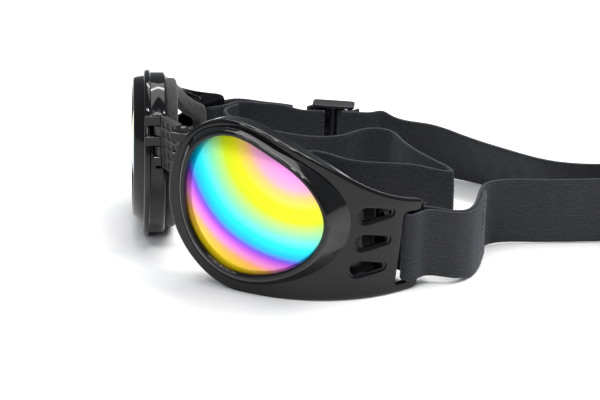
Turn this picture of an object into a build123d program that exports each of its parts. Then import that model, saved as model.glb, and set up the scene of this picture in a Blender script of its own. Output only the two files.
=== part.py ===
from build123d import *
from math import cos, degrees, hypot, radians, sin, tan
import os

# Folding sports goggles: two eye cups on a hinged nose bridge, with an elastic head strap and an under
# strap.
#
# Frame: +Z up, -Y forward, +X to the wearer's left. The goggles stand on a flat surface at Z = 0 and the two
# cups are mirror images about the plane X = 0. Everything is in millimetres.

# ---- driving dimensions -------------------------------------------------------------------------------

TOE = 30.5  # how far each cup is turned back from straight ahead, in degrees
LEAN = 2.0  # how far each cup leans back
CUP_ORIGIN = (11.0, -1.6)  # where the lens plane of the left cup meets the floor, at its nose end
FLAT_RUN = 33.0  # the cup's skin is flat this far, and then bends back round the temple
BEND_R = 47.0  # radius of that bend, at the skin's front face
WALL = 2.2  # shell thickness
COLLAR_D = 7.4  # the shell's rear collar ends at this depth
COLLAR_END = 76.0  # and this far along the skin
COLLAR_INSET = 0.8
FOAM_D = 11.5  # depth of the face foam's rear surface
FOAM_INSET = 3.0
FOAM_W = 6.0
FOAM_ROOM = 0.4  # how much more room the foam leaves round the hinge
SKIN_END = 104.0  # the skin is drawn this far, before its end is cut off
SPAN = 90.0  # taller and longer than any piece of the cup
BELOW = 12.0  # pieces of the cup are drawn from this far below its floor plane
AHEAD = 10.0  # and cut from this far in front of the lens plane

LENS_R = 120.0  # the lens is a slice of a ball
LENS_T = 1.6
LENS_APEX = 3.8  # how far the lens stands in front of the skin, at its middle
LENS_GRIP = 0.6  # how far the lens reaches under the ring
SNUG = 0.1  # gap between pieces that are clipped together
SEAT_FRONT, SEAT_REAR = 1.5, 6.0  # depths of the lens seat in the shell
SEAT_W = 1.4
BEZEL_H = 3.6  # how far the lens ring stands in front of the skin
BEZEL_CREST = 1.7  # width of the ring's flat crest
BEZEL_LIP = 1.55  # thickness of its lip in front of the lens

VENTS = ((70.2, 30.2), (69.0, 20.8), (67.4, 11.5))  # along the skin and up, each vent's middle
VENT_L = 12.0
VENT_H = 5.0
VENT_TIP_R = 1.0
VENT_CUT = 2 * WALL
OUTSIDE = 1.0  # cuts into the skin start this far in front of it
VENT_STEP = 0.9  # width and depth of the step round each vent

PIN_X, PIN_Y = 7.5, 4.3  # left hinge pin, in plan
PIN_R = 0.8
PIN_PLAY = 0.05  # radial clearance of the pins in the bridge's knuckles
BARREL_R = 2.0
HINGE_LOW, HINGE_HIGH = 34.4, 52.8
KNUCKLES = 5
KNUCKLE_GAP = 0.3
HINGE_ROOM = 3.0  # radius that the cup leaves free round its pin
HINGE_END_ROOM = 0.5
WEB_L = 5.0  # the cup's knuckles run forward this far into the shell
WEB_OUTWARD = (0.0, 0.0, 3.8)  # and outward this far, where the shell curves away
PANEL_T = 2.4
PANEL_HALF_W = 4.9

STRAP_W = 24.0
STRAP_T = 1.2
JOIN_R = 1.5 * STRAP_T  # where the two layers of a strap are sewn together
TIGHT_BEND, SOFT_BEND, WIDE_BEND = 0.9, 2.6, 5.0  # radii of a strap's middle
STRAP_PLAY = 0.4  # gap between a strap and the bar that it goes round
STRAP_LIFT = 4.5  # height of the strap's lower edge above the cup's own floor plane, at its origin
SLOT_ARC = 79.0  # where the strap slot begins, measured along the skin
SLOT_L, SLOT_W = 25.4, 5.2
SLOT_CORNER = 1.2
SLOT_SLANT = 6.0
BAR_W = 5.6  # width of the bar behind the slot
TAIL_MID = 16.3  # height of the slot's middle

ADJUSTER_X, ADJUSTER_Y = 36.0, 96.5  # on the right strap, given here as on the left
ADJUSTER_TURN = 131.0  # direction of the strap through it, in plan
ADJUSTER_BARS = (-6.2, 0.0, 6.2)
ADJUSTER_BAR_R = 1.0
ADJUSTER_SIZE = (15.6, 6.4)  # of its two ends, along the strap and through it
ADJUSTER_SHIFT = 0.7  # how far its ends stand outward of its bars
ADJUSTER_CORNER = 1.5
ADJUSTER_FRAME = 1.1
ADJUSTER_OPENING = 24.8

# ---- the left cup's own planes ------------------------------------------------------------------------

along = Vector(cos(radians(TOE)), sin(radians(TOE)), 0)
back_level = Vector(-sin(radians(TOE)), cos(radians(TOE)), 0)
up = Vector(0, 0, 1) * cos(radians(LEAN)) + back_level * sin(radians(LEAN))
cup_plan = Plane(origin=(*CUP_ORIGIN, 0), x_dir=along, z_dir=up)
cup_front = Plane(origin=(*CUP_ORIGIN, 0), x_dir=along, z_dir=along.cross(up))


def skin_point(arc, depth):
    """A point in the cup's plan, that far along the skin and that deep behind its front face."""
    turn = max(0.0, arc - FLAT_RUN) / BEND_R
    run = min(arc, FLAT_RUN)
    return (run + (BEND_R - depth) * sin(turn), BEND_R - (BEND_R - depth) * cos(turn))


def skin_plane(arc, height):
    """A plane that touches the skin, with its x along the skin and its z pointing out of it."""
    turn = max(0.0, arc - FLAT_RUN) / BEND_R
    tangent = cup_plan.x_dir * cos(turn) + cup_plan.y_dir * sin(turn)
    origin = cup_plan.from_local_coords(Vector(*skin_point(arc, 0), height))
    return Plane(origin=origin, x_dir=tangent, z_dir=tangent.cross(cup_plan.z_dir))


def skin_band(front, rear, end_arc):
    """A section in the cup's plan between two depths, following the skin."""
    nose = -15.0
    turn = degrees((end_arc - FLAT_RUN) / BEND_R)
    with BuildSketch() as band:
        with BuildLine():
            Line((nose, front), (FLAT_RUN, front))
            CenterArc((FLAT_RUN, BEND_R), BEND_R - front, -90, turn)
            Line(skin_point(end_arc, front), skin_point(end_arc, rear))
            CenterArc((FLAT_RUN, BEND_R), BEND_R - rear, -90, turn)
            Line((FLAT_RUN, rear), (nose, rear))
            Line((nose, rear), (nose, front))
        make_face()
    return band.sketch


def in_cup_plan(x, y):
    """A point of the general plan, in the cup's own plan."""
    dx, dy = x - CUP_ORIGIN[0], y - CUP_ORIGIN[1]
    return (dx * along.X + dy * along.Y, dx * back_level.X + dy * back_level.Y)


# ---- outlines, seen square to the lens ----------------------------------------------------------------

LENS_MIDDLE = (29.0, 31.0)
LENS_POINTS = (
    (4.5, 32.7),
    (10.5, 51.6),
    (20.9, 55.8),
    (34.8, 51.3),
    (47.7, 43.6),
    (54.7, 31.0),
    (48.2, 17.0),
    (35.9, 9.8),
    (20.1, 8.9),
    (8.6, 18.3),
)
BEZEL_BASE_D = 9.0  # the bezel's flank is drawn down to this depth
BEZEL_FLARE = (10.0, 9.5, 4.8, 4.4, 4.8, 4.9, 8.6, 11.6, 13.6, 13.6)  # and stands out this far there


def egg(spread):
    """The lens opening, with each of its points moved out from the middle by its own amount."""
    points = []
    for (x, y), out in zip(LENS_POINTS, spread):
        dx, dy = x - LENS_MIDDLE[0], y - LENS_MIDDLE[1]
        reach = 1 + out / hypot(dx, dy)
        points.append((LENS_MIDDLE[0] + dx * reach, LENS_MIDDLE[1] + dy * reach))
    with BuildSketch() as outline:
        with BuildLine():
            Spline(*points, periodic=True)
        make_face()
    return outline.sketch


def lens_outline(gap=0.0):
    return egg([gap] * len(LENS_POINTS))


SHELL_TOP = ((-3.4, 31.0), (1.2, 49.6), (15.2, 59.6), (36.0, 56.0), (54.6, 46.6), (66.0, 38.6), (82.0, 29.0))
SHELL_LOW = ((82.0, 0.9), (59.0, 0.6), (38.0, -0.3), (18.0, 0.4), (4.0, 10.4), (-3.4, 31.0))


def shell_edge(points, start, end, inset):
    """One edge of the shell, run clockwise, moved in by an inset."""
    ends = [start] + [(b[0] - a[0], b[1] - a[1]) for a, b in zip(points, points[2:])] + [end]
    moved = []
    for (x, y), (dx, dy) in zip(points, ends):
        size = hypot(dx, dy)
        moved.append((x + inset * dy / size, y - inset * dx / size))
    return Spline(*moved, tangents=(start, end))


def shell_outline(inset=0.0):
    """The whole shell: round at the nose, tapering to the temple."""
    with BuildSketch() as outline:
        with BuildLine():
            top = shell_edge(SHELL_TOP, (0, 1), (0.86, -0.5), inset)
            low = shell_edge(SHELL_LOW, (-1, 0), (0, 1), inset)
            Line(top @ 1, low @ 0)
        make_face()
    return outline.sketch


# ---- shells -------------------------------------------------------------------------------------------

tail_end = skin_plane(SLOT_ARC + SLOT_W + BAR_W, TAIL_MID)
tail_cut = Plane(
    origin=tail_end.origin,
    z_dir=tail_end.x_dir * cos(radians(SLOT_SLANT)) - tail_end.y_dir * sin(radians(SLOT_SLANT)),
)
knuckle_pitch = (HINGE_HIGH - HINGE_LOW) / KNUCKLES

with BuildPart() as skin:
    with BuildSketch(cup_plan.offset(-BELOW)):
        add(skin_band(0, WALL, SKIN_END))
    extrude(amount=SPAN)
    with BuildSketch(cup_front.offset(AHEAD)):
        add(shell_outline())
    extrude(amount=-SPAN, mode=Mode.INTERSECT)
    split(bisect_by=tail_cut, keep=Keep.BOTTOM)

with BuildPart() as cup_hollow:
    with BuildSketch(cup_plan.offset(-BELOW)):
        add(skin_band(WALL, COLLAR_D + 1, COLLAR_END - WALL))
    extrude(amount=SPAN)
    with BuildSketch(cup_front.offset(AHEAD)):
        add(shell_outline(COLLAR_INSET + WALL))
    extrude(amount=-SPAN, mode=Mode.INTERSECT)

with BuildPart() as left_shell:
    with BuildSketch(cup_plan.offset(-BELOW)):
        add(skin_band(WALL / 2, COLLAR_D, COLLAR_END))
    extrude(amount=SPAN)
    with BuildSketch(cup_front.offset(AHEAD)):
        add(shell_outline(COLLAR_INSET))
    extrude(amount=-SPAN, mode=Mode.INTERSECT)
    add(skin.part)
    add(cup_hollow.part, mode=Mode.SUBTRACT)
    # the lens pocket, and the seat behind it
    with BuildSketch(cup_front.offset(AHEAD)):
        add(lens_outline(LENS_GRIP + SNUG))
    extrude(amount=-AHEAD - SEAT_FRONT, mode=Mode.SUBTRACT)
    with BuildSketch(cup_front.offset(-SEAT_FRONT)):
        add(lens_outline(LENS_GRIP))
    extrude(amount=SEAT_FRONT - SEAT_REAR)
    with BuildSketch(cup_front.offset(AHEAD)):
        add(lens_outline(-SEAT_W))
    extrude(amount=-SPAN, mode=Mode.SUBTRACT)
    # the vents, each with a step round it
    for vent_arc, vent_height in VENTS:
        for growth, cut_depth in ((VENT_STEP, VENT_STEP), (0.0, VENT_CUT)):
            with BuildSketch(skin_plane(vent_arc, vent_height).offset(OUTSIDE)):
                with Locations((VENT_H / 2 - VENT_L / 2, 0)):
                    Circle(VENT_H / 2 + growth)
                with Locations((VENT_L / 2 - VENT_TIP_R, 0)):
                    Circle(VENT_TIP_R + growth)
                make_hull()
            extrude(amount=-OUTSIDE - cut_depth, mode=Mode.SUBTRACT)
    # the strap slot
    with BuildSketch(skin_plane(SLOT_ARC + SLOT_W / 2, TAIL_MID)):
        RectangleRounded(SLOT_W, SLOT_L, SLOT_CORNER, rotation=-SLOT_SLANT)
    extrude(amount=2 * WALL, both=True, mode=Mode.SUBTRACT)
    # the hinge
    with BuildSketch(Plane.XY.offset(HINGE_LOW - HINGE_END_ROOM)):
        with Locations((PIN_X, PIN_Y)):
            Circle(HINGE_ROOM)
    extrude(amount=HINGE_HIGH - HINGE_LOW + 2 * HINGE_END_ROOM, mode=Mode.SUBTRACT)
    for knuckle, outward in zip(range(0, KNUCKLES, 2), WEB_OUTWARD):
        with BuildSketch(Plane.XY.offset(HINGE_LOW + knuckle * knuckle_pitch + KNUCKLE_GAP / 2)):
            with Locations((PIN_X, PIN_Y)):
                Circle(BARREL_R)
            with Locations(Location((PIN_X, PIN_Y), TOE)):
                with Locations((outward, 0)):
                    Rectangle(BARREL_R + outward, WEB_L, align=(Align.MAX, Align.MAX))
        extrude(amount=knuckle_pitch - KNUCKLE_GAP)
    with BuildSketch(Plane.XY.offset(HINGE_LOW)):
        with Locations((PIN_X, PIN_Y)):
            Circle(PIN_R)
    extrude(amount=HINGE_HIGH - HINGE_LOW, mode=Mode.SUBTRACT)
    # the level land that it stands on
    split(bisect_by=Plane.XY, keep=Keep.TOP)
left_shell.part.label = "left_shell"


# ---- lenses, and what holds them ----------------------------------------------------------------------

lens_centre = cup_front.from_local_coords(Vector(*LENS_MIDDLE, LENS_APEX - LENS_R))

with BuildPart() as left_lens:
    with BuildSketch(cup_front.offset(AHEAD)):
        add(lens_outline(LENS_GRIP))
    extrude(amount=-SPAN)
    with Locations(lens_centre):
        Sphere(LENS_R, mode=Mode.INTERSECT)
        Sphere(LENS_R - LENS_T, mode=Mode.SUBTRACT)
left_lens.part.label = "left_lens"

with BuildPart() as left_lens_gasket:
    with BuildSketch(cup_front.offset(-SEAT_FRONT)):
        add(lens_outline(LENS_GRIP))
        add(lens_outline(-SEAT_W), mode=Mode.SUBTRACT)
    extrude(amount=AHEAD)
    with Locations(lens_centre):
        Sphere(LENS_R - LENS_T - SNUG, mode=Mode.INTERSECT)
left_lens_gasket.part.label = "left_lens_gasket"

BEHIND_SKIN = 20.0  # deeper than the ring is drawn

with BuildPart() as behind_skin:
    with BuildSketch(cup_plan.offset(-BELOW)):
        add(skin_band(0, BEHIND_SKIN, COLLAR_END))
    extrude(amount=SPAN)

with BuildPart() as left_lens_ring:
    with BuildSketch(cup_front.offset(BEZEL_H)):
        add(lens_outline(BEZEL_CREST))
    with BuildSketch(cup_front.offset(-BEZEL_BASE_D)):
        add(egg(BEZEL_FLARE))
    loft(ruled=True)
    add(behind_skin.part, mode=Mode.SUBTRACT)
    with BuildSketch(cup_front.offset(AHEAD)):
        add(lens_outline())
    extrude(amount=-SPAN, mode=Mode.SUBTRACT)
    with BuildSketch(cup_front.offset(BEZEL_H - BEZEL_LIP)):
        add(lens_outline(LENS_GRIP + SNUG))
    extrude(amount=-SPAN, mode=Mode.SUBTRACT)
left_lens_ring.part.label = "left_lens_ring"

# ---- face foam ----------------------------------------------------------------------------------------

with BuildPart() as foam_hollow:
    with BuildSketch(cup_plan.offset(-BELOW)):
        add(skin_band(COLLAR_D - 1, FOAM_D + 1, COLLAR_END - FOAM_W - 1))
    extrude(amount=SPAN)
    with BuildSketch(cup_front.offset(AHEAD)):
        add(shell_outline(FOAM_INSET + FOAM_W))
    extrude(amount=-SPAN, mode=Mode.INTERSECT)

with BuildPart() as left_face_foam:
    with BuildSketch(cup_plan.offset(-BELOW)):
        add(skin_band(COLLAR_D, FOAM_D, COLLAR_END - 1))
    extrude(amount=SPAN)
    with BuildSketch(cup_front.offset(AHEAD)):
        add(shell_outline(FOAM_INSET))
    extrude(amount=-SPAN, mode=Mode.INTERSECT)
    add(foam_hollow.part, mode=Mode.SUBTRACT)
    with BuildSketch(Plane.XY.offset(HINGE_LOW - 2 * HINGE_END_ROOM)):
        with Locations((PIN_X, PIN_Y)):
            Circle(HINGE_ROOM + FOAM_ROOM)
    extrude(amount=HINGE_HIGH - HINGE_LOW + 4 * HINGE_END_ROOM, mode=Mode.SUBTRACT)
left_face_foam.part.label = "left_face_foam"

# ---- nose bridge --------------------------------------------------------------------------------------

WAFFLE_COLUMNS, WAFFLE_ROWS = 3, 5
WAFFLE_PITCH = (3.2, 3.5)
WAFFLE_SQUARE = 2.3
WAFFLE_D = 0.6

with BuildPart() as left_hinge_pin:
    with BuildSketch(Plane.XY.offset(HINGE_LOW)):
        with Locations((PIN_X, PIN_Y)):
            Circle(PIN_R)
    extrude(amount=HINGE_HIGH - HINGE_LOW)
left_hinge_pin.part.label = "left_hinge_pin"

with BuildPart() as bridge:
    with BuildSketch(Plane.XY.offset(HINGE_LOW)):
        with Locations((0, PIN_Y)):
            Rectangle(2 * PANEL_HALF_W, PANEL_T)
    extrude(amount=HINGE_HIGH - HINGE_LOW)
    for knuckle in range(1, KNUCKLES, 2):
        with BuildSketch(Plane.XY.offset(HINGE_LOW + knuckle * knuckle_pitch + KNUCKLE_GAP / 2)):
            with Locations((-PIN_X, PIN_Y), (PIN_X, PIN_Y)):
                Circle(BARREL_R)
            with Locations((0, PIN_Y)):
                Rectangle(2 * PIN_X, PANEL_T)
            with Locations((-PIN_X, PIN_Y), (PIN_X, PIN_Y)):
                Circle(PIN_R + PIN_PLAY, mode=Mode.SUBTRACT)
        extrude(amount=knuckle_pitch - KNUCKLE_GAP)
    with BuildSketch(Plane.XZ.offset(PANEL_T / 2 - PIN_Y)):
        with Locations((0, (HINGE_LOW + HINGE_HIGH) / 2)):
            with GridLocations(*WAFFLE_PITCH, WAFFLE_COLUMNS, WAFFLE_ROWS):
                Rectangle(WAFFLE_SQUARE, WAFFLE_SQUARE)
    extrude(amount=-WAFFLE_D, mode=Mode.SUBTRACT)
bridge.part.label = "bridge"

# ---- straps: each stands on edge, and follows a route in plan -----------------------------------------

strap_foot = cup_plan.offset(STRAP_LIFT)
bar_arc = SLOT_ARC + SLOT_W + BAR_W / 2
bar_half_t = WALL / 2
layer_gap = bar_half_t + STRAP_PLAY + STRAP_T / 2  # from the bar's middle to a strap layer's


def at_bar(ahead, outward):
    """A point near the bar, ahead along the skin and outward from the bar's middle, in the cup's plan."""
    turn = (bar_arc - FLAT_RUN) / BEND_R
    x, y = skin_point(bar_arc, bar_half_t)
    return (x + ahead * cos(turn) + outward * sin(turn), y + ahead * sin(turn) - outward * cos(turn))


def at_adjuster(ahead, outward):
    """A point near the adjuster's middle, ahead along the strap and outward from the head."""
    turn = radians(ADJUSTER_TURN)
    x = ADJUSTER_X + ahead * cos(turn) + outward * sin(turn)
    y = ADJUSTER_Y + ahead * sin(turn) - outward * cos(turn)
    return in_cup_plan(x, y)


def strap_run(route, radius, thickness=STRAP_T):
    """The section of one stretch of strap, in plan."""
    with BuildLine() as middle:
        FilletPolyline(*route, radius=radius)
    with BuildSketch() as section:
        trace(middle.edges(), thickness)
    return section.sketch


def bar_loop(end):
    """The strap's loop round the bar, closing behind it towards a point in the cup's plan."""
    back = BAR_W / 2 + 1.5
    slant_shift = SLOT_L / 2 * tan(radians(SLOT_SLANT))
    front = -BAR_W / 2 - slant_shift - STRAP_PLAY - STRAP_T / 2
    outer = [at_bar(back, layer_gap), at_bar(front, layer_gap)]
    inner = [at_bar(front, -layer_gap), at_bar(back, -layer_gap)]
    return strap_run([end, *outer, *inner, end], TIGHT_BEND)


LEFT_JOIN = in_cup_plan(62.4, 71.5)  # where the loop's two layers come together
LEFT_SEAM = in_cup_plan(54.2, 94.0)  # and where the outer one ends
LEFT_ROUTE = (
    (50.6, 99.5),
    (52.4, 107.5),
    (79.6, 150.0),
    (82.0, 161.5),
    (70.0, 163.5),
    (50.0, 139.5),
    (10.0, 129.5),
    (-14.0, 118.5),
)
left_route = [LEFT_SEAM, *(in_cup_plan(x, y) for x, y in LEFT_ROUTE)]
RIGHT_JOIN = in_cup_plan(60.6, 71.0)
WEAVE_HALF_L = 9.5  # the stretch of strap inside the adjuster, each way
CUT_GAP = 1.2  # between two lengths of the same strap


def mirrored(point):
    """A point of the right cup's plan, in the left one's."""
    x = CUP_ORIGIN[0] + point[0] * along.X + point[1] * back_level.X
    y = CUP_ORIGIN[1] + point[0] * along.Y + point[1] * back_level.Y
    return in_cup_plan(-x, y)


with BuildPart() as left_strap:
    with BuildSketch(strap_foot):
        add(bar_loop(LEFT_JOIN))
        with Locations(LEFT_JOIN):
            Circle(JOIN_R)
        add(strap_run([LEFT_JOIN, in_cup_plan(65.2, 79.0), LEFT_SEAM], WIDE_BEND, 2 * STRAP_T))
        add(strap_run([*left_route, mirrored(at_adjuster(WEAVE_HALF_L + CUT_GAP, 0))], SOFT_BEND))
    extrude(amount=STRAP_W)
left_strap.part.label = "left_strap"


SEAM_W, SEAM_T = 3.0, 0.5
SEAM_TURN = 133.0  # direction of the strap at its seam, in plan
SEAM_SHORT = 1.0  # how far the seam stops short of each edge

with BuildPart() as left_strap_seam:
    with BuildSketch(strap_foot.offset(SEAM_SHORT)):
        with Locations(Location(LEFT_SEAM, SEAM_TURN - TOE)):
            with Locations((-SEAM_W / 2, -STRAP_T - SEAM_T / 2)):
                Rectangle(SEAM_W, SEAM_T)
    extrude(amount=STRAP_W - 2 * SEAM_SHORT)
left_strap_seam.part.label = "left_strap_seam"

ADJUSTER_SIDE = 3.4  # how far out the strap passes the first two bars
right_end = at_adjuster(-WEAVE_HALF_L - CUT_GAP, 0)

with BuildPart() as right_strap_blank:
    with BuildSketch(strap_foot):
        add(bar_loop(RIGHT_JOIN))
        with Locations(RIGHT_JOIN):
            Circle(JOIN_R)
        add(strap_run([RIGHT_JOIN, in_cup_plan(52.5, 79.5), right_end], WIDE_BEND, 2 * STRAP_T))
    extrude(amount=STRAP_W)

with BuildPart() as right_strap:
    mirror(right_strap_blank.part, about=Plane.YZ)
right_strap.part.label = "right_strap"

# ---- strap adjuster -----------------------------------------------------------------------------------

first_bar = ADJUSTER_BARS[0]
bar_wrap = ADJUSTER_BAR_R + STRAP_PLAY + STRAP_T / 2
weave_route = [(-WEAVE_HALF_L, 0.6), (first_bar - 0.5, ADJUSTER_SIDE), (0.6, ADJUSTER_SIDE)]
weave_route += [(4.2, -2.1), (7.6, -2.1), (WEAVE_HALF_L, 0)]

with BuildPart() as weave_blank:
    with BuildSketch(strap_foot):
        add(strap_run([at_adjuster(*point) for point in weave_route], TIGHT_BEND))
        with Locations(at_adjuster(first_bar, 0)):
            Circle(bar_wrap + STRAP_T / 2)
            Circle(bar_wrap - STRAP_T / 2, mode=Mode.SUBTRACT)
    extrude(amount=STRAP_W)

with BuildPart() as woven_strap:
    mirror(weave_blank.part, about=Plane.YZ)
woven_strap.part.label = "woven_strap"

adjuster_foot = strap_foot.offset((STRAP_W - ADJUSTER_OPENING) / 2 - ADJUSTER_FRAME)

with BuildPart() as adjuster_blank:
    for level in (0, ADJUSTER_OPENING + ADJUSTER_FRAME):
        with BuildSketch(adjuster_foot.offset(level)):
            with Locations(Location(at_adjuster(0, ADJUSTER_SHIFT), ADJUSTER_TURN - TOE)):
                RectangleRounded(*ADJUSTER_SIZE, ADJUSTER_CORNER)
        extrude(amount=ADJUSTER_FRAME)
    with BuildSketch(adjuster_foot):
        with Locations(*(at_adjuster(ahead, 0) for ahead in ADJUSTER_BARS)):
            Circle(ADJUSTER_BAR_R)
    extrude(amount=ADJUSTER_OPENING + 2 * ADJUSTER_FRAME)

with BuildPart() as strap_adjuster:
    mirror(adjuster_blank.part, about=Plane.YZ)
strap_adjuster.part.label = "strap_adjuster"

# ---- under strap: it lies folded between the cups ------------------------------------------------------

UNDER_CUT = (31.0, 97.9)  # where its two lengths meet
UNDER_LEFT_BEND, UNDER_RIGHT_BEND = 1.2, 2.0
under_left_route = [
    (57.2, 68.0),
    (56.4, 62.0),
    (46.0, 59.0),
    (18.0, 60.0),
    (-7.0, 61.5),
    (-8.5, 67.5),
    (4.6, 71.8),
    (16.0, 81.0),
    (24.0, 90.8),
    (36.0, 95.2),
    (36.0, 97.9),
    UNDER_CUT,
]
under_right_route = [
    (UNDER_CUT[0] - CUT_GAP, UNDER_CUT[1]),
    (8.4, 98.6),
    (-9.5, 101.6),
    (-13.6, 96.0),
    (-12.6, 84.0),
    (-24.0, 67.5),
    (-46.0, 59.0),
    (-56.4, 62.0),
    (-57.2, 68.0),
]

with BuildPart() as under_strap_left:
    with BuildSketch(strap_foot):
        add(strap_run([in_cup_plan(x, y) for x, y in under_left_route], UNDER_LEFT_BEND))
    extrude(amount=STRAP_W)
under_strap_left.part.label = "under_strap_left"

with BuildPart() as under_right_blank:
    with BuildSketch(strap_foot):
        add(strap_run([in_cup_plan(-x, y) for x, y in under_right_route], UNDER_RIGHT_BEND))
    extrude(amount=STRAP_W)

with BuildPart() as under_strap_right:
    mirror(under_right_blank.part, about=Plane.YZ)
under_strap_right.part.label = "under_strap_right"

# ---- right cup, and all files -------------------------------------------------------------------------

pieces = [bridge, left_strap, left_strap_seam, right_strap, strap_adjuster, woven_strap]
pieces += [under_strap_left, under_strap_right]
for left in (left_shell, left_lens_ring, left_lens, left_lens_gasket, left_face_foam, left_hinge_pin):
    with BuildPart() as right:
        mirror(left.part, about=Plane.YZ)
    right.part.label = left.part.label.replace("left", "right")
    pieces += [left, right]

os.makedirs("parts", exist_ok=True)
for piece in pieces:
    export_step(piece.part, f"parts/{piece.part.label}.step")
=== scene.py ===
"""Looks of the folding goggles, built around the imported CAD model. Lengths here are in millimetres until a mesh
is made, which turns them into metres."""

from math import asin, cos, pi, radians, sin, tan

import bmesh
import bpy
import numpy as np
from mathutils import Matrix, Vector


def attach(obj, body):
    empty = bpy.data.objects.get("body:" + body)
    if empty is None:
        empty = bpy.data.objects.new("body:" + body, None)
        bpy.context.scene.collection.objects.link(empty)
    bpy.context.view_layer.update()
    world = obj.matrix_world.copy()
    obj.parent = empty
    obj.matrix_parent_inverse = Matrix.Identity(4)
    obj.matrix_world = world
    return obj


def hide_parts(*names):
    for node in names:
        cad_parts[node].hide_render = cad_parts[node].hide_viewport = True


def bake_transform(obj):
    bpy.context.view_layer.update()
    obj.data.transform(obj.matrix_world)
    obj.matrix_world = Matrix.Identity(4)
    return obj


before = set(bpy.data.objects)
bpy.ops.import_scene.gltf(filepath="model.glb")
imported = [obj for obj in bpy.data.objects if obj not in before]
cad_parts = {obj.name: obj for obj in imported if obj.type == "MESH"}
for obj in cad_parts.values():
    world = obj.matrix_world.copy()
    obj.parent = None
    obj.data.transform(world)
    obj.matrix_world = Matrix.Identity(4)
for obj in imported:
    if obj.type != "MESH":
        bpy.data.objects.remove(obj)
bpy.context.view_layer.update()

MM = 0.001
SIDES = {1: "left", -1: "right"}

# ---- the cup, with the CAD model's own driving dimensions -----------------------------------------------

TOE, LEAN = radians(30.5), radians(2.0)
CUP_ORIGIN = np.array([11.0, -1.6, 0.0])
FLAT_RUN, BEND_R, WALL = 33.0, 47.0, 2.2
COLLAR_D, COLLAR_END, COLLAR_INSET = 7.4, 76.0, 0.8
FOAM_D, FOAM_INSET, FOAM_W = 11.5, 3.0, 6.0
LENS_R, LENS_T, LENS_APEX = 120.0, 1.6, 3.8
SEAT_FRONT, SEAT_REAR, SEAT_W = 1.5, 6.0, 1.4
BEZEL_H, BEZEL_CREST, BEZEL_BASE_D = 3.6, 1.7, 9.0
BEZEL_FLARE = (10.0, 9.5, 4.8, 4.4, 4.8, 4.9, 8.6, 11.6, 13.6, 13.6)
SLOT_ARC, SLOT_W, SLOT_L, SLOT_SLANT = 79.0, 5.2, 25.4, radians(6.0)
BAR_W, TAIL_MID = 5.6, 16.3
VENTS = ((70.2, 30.2), (69.0, 20.8), (67.4, 11.5))
VENT_L, VENT_H, VENT_TIP_R, VENT_STEP = 12.0, 5.0, 1.0, 0.9
LENS_MIDDLE = np.array([29.0, 31.0])
LENS_POINTS = (
    (4.5, 32.7), (10.5, 51.6), (20.9, 55.8), (34.8, 51.3), (47.7, 43.6),
    (54.7, 31.0), (48.2, 17.0), (35.9, 9.8), (20.1, 8.9), (8.6, 18.3),
)
SHELL_TOP = ((-3.4, 31.0), (1.2, 49.6), (15.2, 59.6), (36.0, 56.0), (54.6, 46.6), (66.0, 38.6), (82.0, 29.0))
SHELL_LOW = ((82.0, 0.9), (59.0, 0.6), (38.0, -0.3), (18.0, 0.4), (4.0, 10.4), (-3.4, 31.0))

along = np.array([cos(TOE), sin(TOE), 0.0])
level_back = np.array([-sin(TOE), cos(TOE), 0.0])
up = np.array([0, 0, 1.0]) * cos(LEAN) + level_back * sin(LEAN)
back = np.cross(up, along)
FLIP = np.array([-1.0, 1.0, 1.0])


def on_skin(arc, height, depth, side=1):
    """A point that far along the bent skin, up it, and behind its front face."""
    turn = max(0.0, arc - FLAT_RUN) / BEND_R
    x = min(arc, FLAT_RUN) + (BEND_R - depth) * sin(turn)
    point = CUP_ORIGIN + along * x + back * (BEND_R - (BEND_R - depth) * cos(turn)) + up * height
    return point if side > 0 else point * FLIP


def square_on(x, height, depth, side=1):
    """A point given square to the lens, behind the lens plane."""
    point = CUP_ORIGIN + along * x + back * depth + up * height
    return point if side > 0 else point * FLIP


def arc_to_x(arc):
    return arc if arc < FLAT_RUN else FLAT_RUN + BEND_R * sin((arc - FLAT_RUN) / BEND_R)


def x_to_arc(x):
    return x if x < FLAT_RUN else FLAT_RUN + BEND_R * asin(min(1.0, (x - FLAT_RUN) / BEND_R))


def skin_depth(x):
    """How far the skin's front face is behind the lens plane."""
    return 0.0 if x < FLAT_RUN else BEND_R - (BEND_R**2 - min(x - FLAT_RUN, BEND_R) ** 2) ** 0.5


# ---- curves ---------------------------------------------------------------------------------------------


def smooth(points, count, ends=None):
    """Points on the cubic spline through the given ones: closed, or open with a direction at each end."""
    p = np.array(points, float)
    closed = ends is None
    n = len(p)
    after = np.roll(p, -1, 0) if closed else p[1:]
    h = np.linalg.norm(after - p[: len(after)], axis=1)
    matrix, wanted = np.zeros((n, n)), np.zeros((n, p.shape[1]))
    for i in range(n):
        if not closed and i in (0, n - 1):
            matrix[i, i] = 1
            wanted[i] = np.array(ends[0 if i == 0 else 1], float) / np.linalg.norm(ends[0 if i == 0 else 1])
            continue
        before, here = h[i - 1], h[i % len(h)]
        matrix[i, i - 1] += here
        matrix[i, i] += 2 * (before + here)
        matrix[i, (i + 1) % n] += before
        step, last = p[(i + 1) % n] - p[i], p[i] - p[i - 1]
        wanted[i] = 3 * (before / here * step + here / before * last)
    slope = np.linalg.solve(matrix, wanted)
    spots = np.linspace(0, h.sum(), count, endpoint=not closed)
    starts = np.concatenate([[0], np.cumsum(h)])
    out = []
    for spot in spots:
        i = min(int(np.searchsorted(starts, spot, "right")) - 1, len(h) - 1)
        t = (spot - starts[i]) / h[i]
        a, b = p[i], p[(i + 1) % n]
        ma, mb = slope[i] * h[i], slope[(i + 1) % n] * h[i]
        out.append((2 * t**3 - 3 * t**2 + 1) * a + (t**3 - 2 * t**2 + t) * ma + (3 * t**2 - 2 * t**3) * b + (t**3 - t**2) * mb)
    return np.array(out)


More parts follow.
